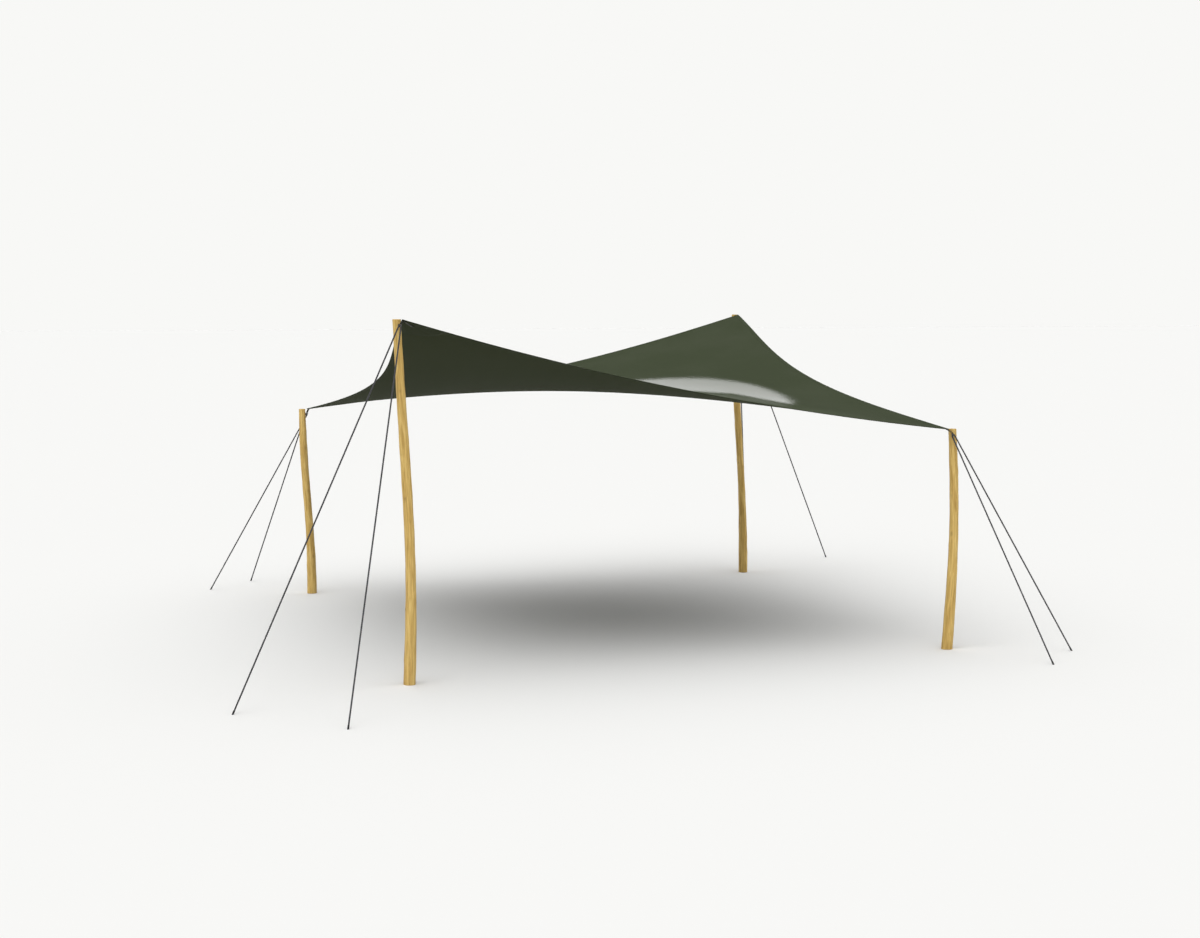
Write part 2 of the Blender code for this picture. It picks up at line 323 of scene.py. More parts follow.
def makeWebbingMaterial():
    material, tree, shader = newMaterial("webbing", {"Sheen Weight": 0.15, "Sheen Roughness": 0.4,
                                                     "Specular IOR Level": 0.3})
    place = addNode(tree, "ShaderNodeUVMap")["UV"]
    parts = splitNode(tree, place)
    rib = mathNode(tree, "SINE", product(tree, parts["Y"], fullTurn * 900))
    pick = mathNode(tree, "SINE", product(tree, parts["X"], fullTurn * 700))
    weave = rescale(tree, product(tree, rib, pick), 0.5, 0.5)
    # The weave's hollows get the darker colour and its tops the lighter one: painted shade on the
    # weave's relief.
    tone = mottled(tree, place, mixColour(tree, weave, *finishColours["webbing"]), 90.0, 0.2)
    finishLook(tree, shader, tone["Colour"], weave, (0.12, 0.72), (0.5, 0.0004))
    return material


def makeThreadMaterial():
    material, tree, shader = newMaterial("thread", {"Sheen Weight": 0.2, "Specular IOR Level": 0.3})
    place = addNode(tree, "ShaderNodeTexCoord")["Object"]
    tone = mottled(tree, place, finishColours["thread"], 300.0, 0.3)
    finishLook(tree, shader, tone["Colour"], tone["Value"], (0.2, 0.6))
    return material


def makeTimber():
    # "grain" is a place in the log as if it were straight.
    material, tree, shader = newMaterial("timber", {"Specular IOR Level": 0.35})
    place = attributeNode(tree, "grain")["Vector"]
    knot = attributeNode(tree, "knot")["Fac"]
    streaks = addGroup(tree, streakGroup, {"Vector": place, "Across": 62.0, "Along": 4.0})
    bands = rampNode(tree, streaks["Bands"], timberBands)
    wood = shadeBy(tree, bands, rescale(tree, streaks["Fibres"], 0.34, 0.83))
    wood = mixColour(tree, product(tree, knot, 0.75), wood, finishColours["knot"])
    height = splitNode(tree, addNode(tree, "ShaderNodeTexCoord")["Object"])["Z"]
    foot = addNode(tree, "ShaderNodeMapRange", {"Value": height, "From Min": 0.0, "From Max": 0.10,
                                                "To Min": 0.35, "To Max": 0.0})[0]
    dusty = addGroup(tree, dustGroup, {"Vector": place, "Colour": wood, "Amount": foot,
                                       "Dust": finishColours["footDust"], "Scale": 6.0})
    broad = bumpNode(tree, streaks["Bands"], 0.25, 0.003)
    finishLook(tree, shader, dusty["Colour"], streaks["Fibres"], (0.25, 0.42),
               (0.35, 0.0008, broad))
    return material


def makeEndGrain():
    material, tree, shader = newMaterial("endGrain", {"Specular IOR Level": 0.25})
    parts = splitNode(tree, attributeNode(tree, "grain")["Vector"])
    flat = addNode(tree, "ShaderNodeCombineXYZ", {0: parts["X"], 1: parts["Y"]})[0]
    radius = addNode(tree, "ShaderNodeVectorMath", {0: flat}, operation="LENGTH")["Value"]
    wobble = product(tree, noiseNode(tree, flat, 45.0, 3.0), 9.0)
    ring = waveNode(tree, rescale(tree, radius, 2200.0, wobble))
    tone = mottled(tree, flat, mixColour(tree, ring, *finishColours["endGrain"]), 90.0, 0.2)
    finishLook(tree, shader, tone["Colour"], ring, (0.1, 0.75), (0.3, 0.0006))
    return material


def makeSteel():
    material, tree, shader = newMaterial("galvanisedSteel", {"Metallic": 1.0})
    place = addNode(tree, "ShaderNodeTexCoord")["Object"]
    tone = mottled(tree, place, finishColours["steel"], 260.0, 0.35)
    finishLook(tree, shader, tone["Colour"], tone["Value"], (0.3, 0.3), (0.15, 0.0005))
    return material


def makeRopeMaterial():
    # "along" and "around" are lengths over the rope, carried by its mesh.
    material, tree, shader = newMaterial("ropeYarn", {"Sheen Weight": 0.25, "Sheen Roughness": 0.45,
                                                      "Specular IOR Level": 0.3})
    along = attributeNode(tree, "along")["Fac"]
    around = attributeNode(tree, "around")["Fac"]
    place = addNode(tree, "ShaderNodeCombineXYZ", {0: along, 1: around})[0]
    fibre = waveNode(tree, rescale(tree, along, -1500.0, product(tree, around, 5200.0)))
    # The grooves along the fibres get the darker colour: painted shade on the rope's relief.
    tone = mottled(tree, place, mixColour(tree, fibre, *finishColours["rope"]), 45.0, 0.25)
    finishLook(tree, shader, tone["Colour"], fibre, (0.1, 0.72), (0.4, 0.0004))
    return material


def makeWhippingMaterial():
    material, tree, shader = newMaterial("whipping", {"Specular IOR Level": 0.4})
    along = attributeNode(tree, "along")["Fac"]
    turns = waveNode(tree, product(tree, along, fullTurn / 0.0016))
    # The gaps between the turns get the darker colour: painted shade between the turns of twine.
    colour = mixColour(tree, turns, *finishColours["whipping"])
    finishLook(tree, shader, colour, turns, (0.2, 0.5), (0.6, 0.0006))
    return material


materials = {name: makeFabric(name) for name in fabricLooks}
materials["webbing"] = makeWebbingMaterial()
materials["thread"] = makeThreadMaterial()
materials["timber"] = makeTimber()
materials["endGrain"] = makeEndGrain()
materials["steel"] = makeSteel()
materials["rope"] = makeRopeMaterial()
materials["whipping"] = makeWhippingMaterial()
print("materials made")


# Meshes

def addObject(name, data):
    item = bpy.data.objects.new(name, data)
    bpy.context.scene.collection.objects.link(item)
    return item


def mendMesh(mesh, weld=False):
    # Turns the faces outwards, on request after its doubles are merged.
    shaper = bmesh.new()
    shaper.from_mesh(mesh)
    if weld:
        bmesh.ops.remove_doubles(shaper, verts=shaper.verts, dist=1e-6)
    bmesh.ops.recalc_face_normals(shaper, faces=shaper.faces)
    shaper.to_mesh(mesh)
    shaper.free()


def newPiece(name, points, faces, slots, uvs=None, slotOf=None):
    # uvs holds one pair for each point, and slotOf the material index of each face.
    mesh = bpy.data.meshes.new(name)
    mesh.from_pydata([tuple(p) for p in points], [], faces)
    for key in slots:
        mesh.materials.append(materials[key])
    if slotOf is not None:
        mesh.polygons.foreach_set("material_index", slotOf)
    if uvs is not None:
        layer = mesh.uv_layers.new(name="UVMap")
        corners = np.empty(len(mesh.loops), int)
        mesh.loops.foreach_get("vertex_index", corners)
        layer.data.foreach_set("uv", np.asarray(uvs, float)[corners].ravel())
    mesh.shade_smooth()
    return addObject(name, mesh)


def sharpen(item, degrees):
    item.data.set_sharp_from_angle(angle=math.radians(degrees))


def addFloats(item, name, values):
    item.data.attributes.new(name, "FLOAT", "POINT").data.foreach_set("value", values)


def addVectors(item, name, values):
    layer = item.data.attributes.new(name, "FLOAT_VECTOR", "POINT")
    layer.data.foreach_set("vector", np.asarray(values, float).ravel())


def finishPiece(item, slot, *nodes):
    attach(item, body)
    if nodes:
        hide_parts(*nodes)
    return item


def meshPoints(mesh):
    return np.array([v.co for v in mesh.vertices])


def shellFaces(rows, columns):
    # An upper and a lower grid and the wall round them, with the number of upper faces.
    size = rows * columns
    upper = []
    for i in range(rows - 1):
        for j in range(columns - 1):
            a = i * columns + j
            upper.append((a, a + 1, a + columns + 1, a + columns))
    lower = [tuple(size + i for i in face[::-1]) for face in upper]
    loop = list(range(columns))
    loop += [i * columns + columns - 1 for i in range(1, rows)]
    loop += [(rows - 1) * columns + j for j in range(columns - 2, -1, -1)]
    loop += [i * columns for i in range(rows - 2, 0, -1)]
    wall = [(j, i, size + i, size + j) for i, j in zip(loop, loop[1:] + loop[:1])]
    return upper + lower + wall, len(upper)


def tubeFaces(around, count, ends="capped"):
    # Rings of points, with ends that are capped, open or joined.
    faces = []
    for i in range(count if ends == "joined" else count - 1):
        k = (i + 1) % count
        for j in range(around):
            m = (j + 1) % around
            faces.append((i * around + j, i * around + m, k * around + m, k * around + j))
    if ends == "capped":
        faces.append(tuple(reversed(range(around))))
        faces.append(tuple((count - 1) * around + j for j in range(around)))
    return faces


def joinParts(parts):
    points = []
    faces = []
    for somePoints, someFaces in parts:
        first = sum(len(p) for p in points)
        points.append(np.asarray(somePoints))
        faces += [tuple(first + i for i in face) for face in someFaces]
    return np.vstack(points), faces


def unit(vectors):
    return vectors / np.linalg.norm(vectors, axis=-1, keepdims=True)


def turned(start, axis, stations, around):
    # A turned part: each station is a distance along the axis and a radius.
    side = unit(np.cross(axis, [0.31, 0.17, 0.93]))
    other = np.cross(axis, side)
    turn = np.linspace(0, fullTurn, around, endpoint=False)[:, None]
    spokes = np.cos(turn) * side + np.sin(turn) * other
    points = np.vstack([start + axis * far + spokes * radius for far, radius in stations])
    return points, tubeFaces(around, len(stations))


def runLength(path):
    return np.concatenate([[0], np.cumsum(np.linalg.norm(np.diff(path, axis=0), axis=1))])


def smoothStep(low, high, values):
    x = np.clip((np.asarray(values, float) - low) / (high - low), 0, 1)
    return x * x * (3 - 2 * x)


def smoothAlong(levels, values, heights):
    # Natural cubic interpolation of each column of values.
    values = np.asarray(values, float)
    gap = np.diff(levels)
    count = len(levels)
    system = np.eye(count)
    right = np.zeros_like(values)
    for i in range(1, count - 1):
        system[i, i - 1:i + 2] = gap[i - 1], 2 * (gap[i - 1] + gap[i]), gap[i]
        after = (values[i + 1] - values[i]) / gap[i]
        right[i] = 6 * (after - (values[i] - values[i - 1]) / gap[i - 1])
    bend = np.linalg.solve(system, right)
    k = np.clip(np.searchsorted(levels, heights) - 1, 0, count - 2)
    g = gap[k]
    a = (levels[k + 1] - heights) / g
    if values.ndim > 1:
        a, g = a[:, None], g[:, None]
    b = 1 - a
    return (a * values[k] + b * values[k + 1]
            + ((a ** 3 - a) * bend[k] + (b ** 3 - b) * bend[k + 1]) * g * g / 6)


# The sheet's shape

sheetShape = {
    "spacing": 5.0,        # corner to corner
    "cornerDrop": 0.002,   # fabric below the pole's top, at a corner
    "pull": 0.257,         # an edge's curve towards the middle
    "pullPower": 1.35,
    "sag": 0.111,          # an edge's hang below the straight line
    "belly": 0.008,        # the middle's hang below the blend of the edges
    "thickness": 0.0016,
    "margin": 0.0015,      # from the edge to the outermost points
    "cells": 150,
    "crowding": 0.75,      # how far the points crowd towards the edges
    "wrinkle": 0.0007,     # height of the tension folds near a corner
    "wrinkleStart": 0.06,
    "wrinklePeak": 0.30,
    "wrinkleEnd": 1.30,
}

spacing = sheetShape["spacing"]
topOf = {name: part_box("pole_" + name)[1].z for name in cornerSides}


def cornerPoint(name):
    x, y = cornerSides[name]
    half = spacing / 2
    return np.array([x * half, y * half, topOf[name] - sheetShape["cornerDrop"]])


def edgeCurve(edge, t):
    start, end = (cornerPoint(name) for name in edgeEnds[edge])
    inwards = -(start + end) / 2
    inwards[2] = 0
    t = np.clip(np.asarray(t, float), 0, 1)[..., None]
    wave = np.sin(np.pi * t) ** sheetShape["pullPower"]
    points = start * (1 - t) + end * t + unit(inwards) * sheetShape["pull"] * wave
    points[..., 2:] -= 4 * sheetShape["sag"] * t * (1 - t)
    return points


def plainSheet(u, v):
    # Blends the four edges: u runs left to right and v front to back, from 0 to 1.
    u = np.asarray(u, float)
    v = np.asarray(v, float)
    x = u[..., None]
    y = v[..., None]
    a, b, c, d = (cornerPoint(name) for name in cornerSides)
    flat = (a * (1 - x) + b * x) * (1 - y) + (d * (1 - x) + c * x) * y
    across = edgeCurve("left", v) * (1 - x) + edgeCurve("right", v) * x
    along = edgeCurve("front", u) * (1 - y) + edgeCurve("back", u) * y
    points = across + along - flat
    points[..., 2:] -= 16 * sheetShape["belly"] * x * (1 - x) * y * (1 - y)
    return points


def sheetNormal(u, v):
    step = 1e-4
    u = np.clip(u, step, 1 - step)
    v = np.clip(v, step, 1 - step)
    across = plainSheet(u + step, v) - plainSheet(u - step, v)
    along = plainSheet(u, v + step) - plainSheet(u, v - step)
    return unit(np.cross(across, along))


def wrinkles(u, v):
    # Fans of shallow tension folds that start at the corners and die out over the sheet.
    total = np.zeros(np.broadcast(u, v).shape)
    peak = sheetShape["wrinklePeak"]
    for index, (x, y) in enumerate(cornerSides.values()):
        a = (u if x < 0 else 1 - u) * spacing
        b = (v if y < 0 else 1 - v) * spacing
        radius = np.hypot(a, b)
        angle = np.arctan2(b, a)
        rise = smoothStep(sheetShape["wrinkleStart"], peak, radius)
        fall = 1 - smoothStep(peak, sheetShape["wrinkleEnd"], radius)
        folds = np.sin(13 * angle + 1.3 * index) + 0.6 * np.sin(22 * angle + 2.1 * index + 0.7)
        total += sheetShape["wrinkle"] * rise * fall * np.sin(2 * angle) ** 2 * folds
    return total


def onSheet(u, v, offset):
    # A place on the stretched fabric, raised along its normal.
    u = np.asarray(u, float)
    v = np.asarray(v, float)
    lift = wrinkles(u, v) + offset
    return plainSheet(u, v) + sheetNormal(u, v) * lift[..., None]


def fromCorner(name, a, b):
    # Sheet coordinates of a place a and b metres in from a corner, along its two sides.
    x, y = cornerSides[name]
    a = np.asarray(a, float) / spacing
    b = np.asarray(b, float) / spacing
    return (a if x < 0 else 1 - a), (b if y < 0 else 1 - b)


def makeShell(name, u, v, upper, lower, slots):
    # A skin between two heights over the sheet, at a grid of places. Its first slot is on top.
    points = np.vstack([onSheet(u, v, height).reshape(-1, 3) for height in (upper, lower)])
    faces, onTop = shellFaces(*u.shape)
    flat = np.stack([u, v], -1).reshape(-1, 2) * spacing
    slotOf = [0] * onTop + [len(slots) - 1] * (len(faces) - onTop)
    return newPiece(name, points, faces, slots, np.vstack([flat, flat]), slotOf)


def makeCanopy():
    count = sheetShape["cells"] + 1
    margin = sheetShape["margin"] / spacing
    crowded = (1 - np.cos(np.linspace(0, np.pi, count))) / 2
    share = sheetShape["crowding"]
    steps = margin + (1 - 2 * margin) * (share * crowded + (1 - share) * np.linspace(0, 1, count))
    u, v = np.meshgrid(steps, steps)
    half = sheetShape["thickness"] / 2
    # The lower skin takes the darker underside colour, which is painted shade.
    item = makeShell("canopy_sheet", u, v, half, -half, ["canopyTop", "canopyUnderPaintedShade"])
    sharpen(item, 50)
    return item


canopy = finishPiece(makeCanopy(), "canopy_fabric", "canopy")
print("canopy made")


# Hems

hemShape = {
    "width": 0.045,
    "half": 0.0020,        # half of its thickness
    "lip": 0.0006,         # half of its thickness at the inner edge
    "bead": 0.0034,        # radius of the edge cord inside the fold
    "cells": 300,
    "rows": (0.0355, 0.0400),   # lines of stitches, from the edge
    "rowHalf": 0.0012,
    "rowDip": 0.0004,
    "crown": ((0.024, 1.03), (0.013, 1.0), (0.0095, 0.95)),   # depths, and shares of the half
    "pucker": 0.00025,
    "puckerReach": (0.004, 0.012),   # depths over which it grows
    "puckerWaves": (311, 197),
}


def edgePlace(edge, t, depth):
    # Sheet coordinates at t along an edge and depth in from it, with mitred ends.
    depth = depth / spacing
    t = depth + (1 - 2 * depth) * t
    places = {"front": (t, depth), "back": (t, 1 - depth), "left": (depth, t),
              "right": (1 - depth, t)}
    u, v = places[edge]
    return np.broadcast_arrays(np.asarray(u, float), np.asarray(v, float))


def hemProfile():
    # One turn round the hem: pairs of depth from the edge and height over the sheet.
    half = hemShape["half"]
    bead = hemShape["bead"]
    width = hemShape["width"]
    lip = hemShape["lip"]
    aside = hemShape["rowHalf"]
    upper = [(width, lip), (width - lip, half * 0.75), (width - half, half)]
    for row in sorted(hemShape["rows"], reverse=True):
        upper += [(row + aside, half), (row, half - hemShape["rowDip"]), (row - aside, half)]
    upper += [(depth, half * share) for depth, share in hemShape["crown"]]
    for degrees in range(50, 180, 26):
        a = math.radians(degrees)
        upper.append((bead - bead * math.cos(math.pi - a), bead * math.sin(a)))
    return upper + [(0.0, 0.0)] + [(depth, -height) for depth, height in reversed(upper)]


def makeHem(edge):
    count = hemShape["cells"] + 1
    t = np.linspace(0, 1, count)
    profile = hemProfile()
    first, second = hemShape["puckerWaves"]
    columns = []
    uvs = []
    for index, (depth, height) in enumerate(profile):
        u, v = edgePlace(edge, t, max(depth, 0.0))
        wave = np.sin(t * first + 3 * index) + np.sin(t * second + 5 * index + 1)
        grown = smoothStep(*hemShape["puckerReach"], depth)
        pucker = hemShape["pucker"] * 0.5 * grown * wave
        columns.append(onSheet(u, v, height + pucker * np.sign(height)))
        uvs.append(np.stack([t * spacing, np.full(count, depth + (0.1 if height < 0 else 0))], -1))
    around = len(profile)
    # Faces on the lower side take the darker underside colour, which is painted shade.
    slots = [0 if a[1] + b[1] > 0 else 1 for a, b in zip(profile, profile[1:] + profile[:1])]
    item = newPiece("hem_%s_band" % edge, np.stack(columns, 1).reshape(-1, 3),
                    tubeFaces(around, count), ["hemTop", "hemUnderPaintedShade"],
                    np.stack(uvs, 1).reshape(-1, 2), slots * (count - 1) + [1, 1])
    mendMesh(item.data)
    sharpen(item, 60)
    return item


hems = [finishPiece(makeHem(edge), "hem_fabric", "hem_" + edge) for edge in edgeEnds]
print("hems made")


# Corner patches

patchShape = {
    "radius": 0.36,
    "thickness": 0.0012,
    "edgeShare": 0.2,      # of the thickness, at the rim
    "edgeStart": 0.985,    # share of the radius where it starts to thin
    "seat": 0.6,           # where it starts, as a share of the sheet's half thickness
    "tuck": 0.006,         # how far it runs under the hem
    "rings": 26,
    "sectors": 40,
    "rows": (0.007, 0.0115),   # lines of stitches, from the rim
}


def makePatch(name):
    # A fan from the hems' inner corner out to an arc, in metres from the canopy's corner.
    inner = hemShape["width"] - patchShape["tuck"]
    fan = np.linspace(0, np.pi / 2, patchShape["sectors"] + 1)
    reach = np.linspace(0, 1, patchShape["rings"] + 1)
    c, s = np.cos(fan), np.sin(fan)
    aside = inner * (c + s)
    limit = -aside + np.sqrt(aside ** 2 - 2 * inner ** 2 + patchShape["radius"] ** 2)
    u, v = fromCorner(name, inner + np.outer(reach, limit * c), inner + np.outer(reach, limit * s))
    half = sheetShape["thickness"] / 2
    thinning = (1 - patchShape["edgeShare"]) * smoothStep(patchShape["edgeStart"], 1.0, reach)
    deep = -(half + patchShape["thickness"] * (1 - thinning))
    seat = -half * patchShape["seat"]
    # The patch sits under the sheet and takes the darker underside colour, which is painted shade.
    item = makeShell("patch_" + name, u, v, seat, deep[:, None], ["patchPaintedShade"])
    mendMesh(item.data, weld=True)
    return item


patches = [finishPiece(makePatch(name), "patch_fabric", "corner_patch_" + name)
           for name in cornerSides]
print("patches made")


# Poles, from the rings of points of the fixed frame's own poles

poleShape = {
    "sides": 48,
    "step": 0.020,         # between rings
    "lobes": 0.018,        # out of round, as a share of the radius
    "dents": 0.0010,
    "knots": 5,            # to each metre
    "knotHeight": 0.0022,
    "chamfer": 0.0022,
    "endRings": (1.0, 0.75, 0.5, 0.25),   # shares of the radius, from the chamfer inwards
    "knotEnds": (0.12, 0.15),   # free of knots, at the foot and the head
    "knotSize": (0.006, 0.013),
    "knotDark": (0.4, 0.9),
    "seed": 11,
    "seedStep": 7,
}


def poleRings(name):
    points = meshPoints(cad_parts["pole_" + name].data)
    levels = np.unique(np.round(points[:, 2], 3))
    centres = []
    radii = []
    for level in levels:
        ring = np.unique(np.round(points[np.abs(points[:, 2] - level) < 0.001], 5), axis=0)
        centre = (ring.min(0) + ring.max(0)) / 2
        centres.append(centre)
        radii.append(np.linalg.norm((ring - centre)[:, :2], axis=1).max())
    return levels, np.array(centres), np.array(radii)


rings = {name: poleRings(name) for name in cornerSides}


def poleAt(name, heights):
    levels, centres, radii = rings[name]
    heights = np.atleast_1d(np.asarray(heights, float))
    return smoothAlong(levels, centres, heights), smoothAlong(levels, radii, heights)


def poleSkin(top, chance, heights, radii):
    # Grids of height, angle, radius and the knots' darkness over the wood.
    angles = np.linspace(0, fullTurn, poleShape["sides"], endpoint=False)
    h, turn = np.meshgrid(heights, angles, indexing="ij")
    phase = [chance.uniform(0, fullTurn) for _ in range(6)]
    lobes = (np.sin(2 * turn + phase[0] + 0.9 * h) + 0.6 * np.sin(3 * turn + phase[1] - 1.3 * h)
             + 0.3 * np.sin(5 * turn + phase[2] + 2.1 * h)) / 1.9
    dents = (np.sin(7 * h + phase[3] + 2 * turn) * np.sin(11 * h + phase[4])
             + 0.5 * np.sin(23 * h + phase[5] - turn))
    swell = np.zeros_like(h)
    dark = np.zeros_like(h)
    low, high = poleShape["knotEnds"]
    for _ in range(int(poleShape["knots"] * top)):
        place = chance.uniform(low, top - high)
        facing = chance.uniform(0, fullTurn)
        size = chance.uniform(*poleShape["knotSize"])
        aside = (turn - facing + np.pi) % fullTurn - np.pi
        far = np.hypot(aside * np.interp(place, heights, radii), (h - place) * 0.6)
        swell += poleShape["knotHeight"] * np.exp(-(far / (2.4 * size)) ** 2)
        dark += np.exp(-(far / size) ** 2) * chance.uniform(*poleShape["knotDark"])
    radius = radii[:, None] * (1 + poleShape["lobes"] * lobes) + poleShape["dents"] * dents + swell
    return h, turn, radius, np.clip(dark, 0, 1)


def makePole(name, seed):
    top = topOf[name]
    chamfer = poleShape["chamfer"]
    sides = poleShape["sides"]
    shares = poleShape["endRings"]
    count = int(round(top / poleShape["step"])) + 1
    heights = np.linspace(chamfer, top - chamfer, count)
    centres, radii = poleAt(name, heights)
    h, turn, radius, dark = poleSkin(top, random.Random(seed), heights, radii)
    spokes = np.stack([np.cos(turn), np.sin(turn), 0 * turn], -1)
    bark = spokes * radius[..., None]

    def closeEnd(row, level):
        # Rings in the pole's own place and in the straight log, inwards from the chamfer.
        middle = centres[row].copy()
        middle[2] = level
        far = [radius[row] * share for share in shares]
        far[0] = radius[row] - chamfer
        edges = [spokes[row] * r[:, None] for r in far]
        return [middle + edge for edge in edges], [edge + [0, 0, level] for edge in edges]

    lowEnd, lowLog = closeEnd(0, 0.0)
    highEnd, highLog = closeEnd(count - 1, top)
    walls = (centres[:, None] + bark).reshape(-1, 3)
    straight = (bark + np.stack([0 * h, 0 * h, h], -1)).reshape(-1, 3)
    middles = [lowEnd[0].mean(0), highEnd[0].mean(0)]
    points = np.vstack(lowEnd[::-1] + [walls] + highEnd + middles)
    log = np.vstack(lowLog[::-1] + [straight] + highLog + [[0, 0, 0], [0, 0, top]])

    ringsUp = len(shares) * 2 + count
    faces = tubeFaces(sides, ringsUp, "open")
    slots = []
    for i in range(ringsUp - 1):
        end = i < len(shares) - 1 or i >= ringsUp - len(shares)
        slots += [1 if end else 0] * sides
    first = len(points) - 2
    last = (ringsUp - 1) * sides
    for j in range(sides):
        k = (j + 1) % sides
        faces += [(k, j, first), (last + j, last + k, first + 1)]
        slots += [1, 1]
    item = newPiece("timber_" + name, points, faces, ["timber", "endGrain"], None, slots)

    skin = slice(len(shares) * sides, len(shares) * sides + dark.size)
    knot = np.zeros(len(points))
    knot[skin] = dark.ravel()
    log[skin] += [seed * 0.37, seed * 0.11, seed * 2.3]   # each pole's grain is its own
    addVectors(item, "grain", log)
    addFloats(item, "knot", knot)
    sharpen(item, 40)
    return item


for i, name in enumerate(cornerSides):
    seed = poleShape["seed"] + poleShape["seedStep"] * i
    finishPiece(makePole(name, seed), "pole_timber", "pole_" + name)
print("poles made")


# Eyes at the poles' heads

eyeShape = {
    "ring": 0.015,         # to the middle of the wire
    "wire": 0.004,
    "below": 0.050,        # under the pole's top
    "headings": {"front_left": -73, "front_right": -117, "back_right": -50, "back_left": 33},
    "leastShank": 0.005,
    "seat": 0.0003,        # air between the collar and the timber
    "leanStep": 0.01,      # height share over which the pole's lean is taken
    "collar": 0.011,
    "collarThickness": 0.0025,
    "fillet": 0.0006,
    "rim": 0.0004,
    "ringSteps": 56,
    "wireSteps": 18,
    "shankSteps": 24,
}


def anchorPoints(name):
    # Where the corner's two ropes meet the ground, from the fixed frame's ropes.
    found = []
    for index in (1, 2):
        points = meshPoints(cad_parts["guy_rope_%s_%d" % (name, index)].data)
        foot = points[points[:, 2] < 0.001]
        found.append((foot.min(0) + foot.max(0)) / 2)
    return found


def eyeFrame(name):
    level = topOf[name] - eyeShape["below"]
    centres, radii = poleAt(name, [level, level + eyeShape["leanStep"] * topOf[name]])
    axis = centres[0]
    lean = unit(centres[1] - axis)
    heading = math.radians(eyeShape["headings"][name])
    out = np.array([math.cos(heading), math.sin(heading), 0])
    out = unit(out - lean * out.dot(lean))
    least = radii[0] + eyeShape["leastShank"] + eyeShape["ring"] + eyeShape["wire"]
    distance = max(np.linalg.norm((cornerPoint(name) - axis)[:2]), least)
    centre = axis + out * distance
    pull = sum(anchorPoints(name)) / 2 - centre
    pull = unit(pull - out * pull.dot(out))
    return {"centre": centre, "out": out, "pull": pull, "normal": np.cross(out, pull),
            "shank": distance - eyeShape["ring"] - radii[0] - eyeShape["seat"]}


def makeEye(name):
    eye = eyeFrame(name)
    wire = eyeShape["wire"]
    ring = eyeShape["ring"]
    around, across = eyeShape["ringSteps"], eyeShape["wireSteps"]
    points = []
    for i in range(around):
        angle = fullTurn * i / around
        spoke = eye["out"] * math.cos(angle) + eye["pull"] * math.sin(angle)
        for j in range(across):
            turn = fullTurn * j / across
            points.append(eye["centre"] + spoke * (ring + wire * math.cos(turn))
                          + eye["normal"] * wire * math.sin(turn))
    shank = eye["shank"]
    collar = eyeShape["collar"]
    fillet = eyeShape["fillet"]
    rim = eyeShape["rim"]
    face = shank - eyeShape["collarThickness"]
    stations = [(0, wire * 0.95), (wire, wire * 0.98), (face * 0.7, wire * 0.80),
                (face - fillet, wire * 0.82), (face, wire * 1.25), (face, collar - fillet),
                (face + fillet, collar), (shank - rim, collar), (shank, collar - rim)]
    stem = turned(eye["centre"] - eye["out"] * ring, -eye["out"], stations, eyeShape["shankSteps"])
    torus = (points, tubeFaces(across, around, "joined"))
    item = newPiece("eye_" + name, *joinParts([torus, stem]), ["steel"])
    mendMesh(item.data)
    sharpen(item, 35)
    return item


for name in cornerSides:
    finishPiece(makeEye(name), "eye_steel", "head_eye_" + name)
print("eyes made")


# Webbing loops from the canopy's corners to the eyes

loopShape = {
    "width": 0.018,
    "thickness": 0.0018,
    "outer": (0.150, 0.1125, 0.075, 0.042, 0.022),   # the two layers' distances from the corner
    "inner": (0.034, 0.052, 0.075, 0.1125, 0.144),
    "layerGap": 0.0002,
    "shoulder": 0.004,     # straight run beside the wire, before the turn
    "step": 0.0022,
    "twistReach": 0.022,   # distance from the eye over which it turns to face the wire
}


def smoothPath(controls, step):
    # A curve through the control points, resampled to even steps.
    controls = np.asarray(controls, float)
    spans = np.sqrt(np.linalg.norm(np.diff(controls, axis=0), axis=1))
    reach = np.concatenate([[0], np.cumsum(spans)])
    fine = smoothAlong(reach, controls, np.linspace(0, reach[-1], 40 * len(controls)))
    run = runLength(fine)
    even = np.linspace(0, run[-1], max(int(run[-1] / step), 8))
    return np.stack([np.interp(even, run, fine[:, i]) for i in range(3)], -1)


def loopPath(name, eye, outwards):
    # Along the underside, down outside the wire, through the ring and back below itself.
    normal = eye["normal"] * np.sign(eye["normal"].dot(outwards))
    thick = loopShape["thickness"]
    under = hemShape["half"] + thick / 2 + loopShape["layerGap"]
    second = under + thick + loopShape["layerGap"]
    wire = eye["centre"] - eye["pull"] * eyeShape["ring"]
    around = eyeShape["wire"] + thick / 2 + loopShape["layerGap"]
    shoulder = eye["pull"] * loopShape["shoulder"]

    def below(distances, offset):
        places = [fromCorner(name, far / math.sqrt(2), far / math.sqrt(2)) for far in distances]
        return [onSheet(u, v, -offset) for u, v in places]

    turn = [wire + normal * around - shoulder]
    for degrees in range(0, 181, 45):
        a = math.radians(degrees)
        turn.append(wire + around * (normal * math.cos(a) + eye["pull"] * math.sin(a)))
    turn.append(wire - normal * around - shoulder)
    layers = below(loopShape["outer"], under) + turn + below(loopShape["inner"], second)
    return smoothPath(layers, loopShape["step"])


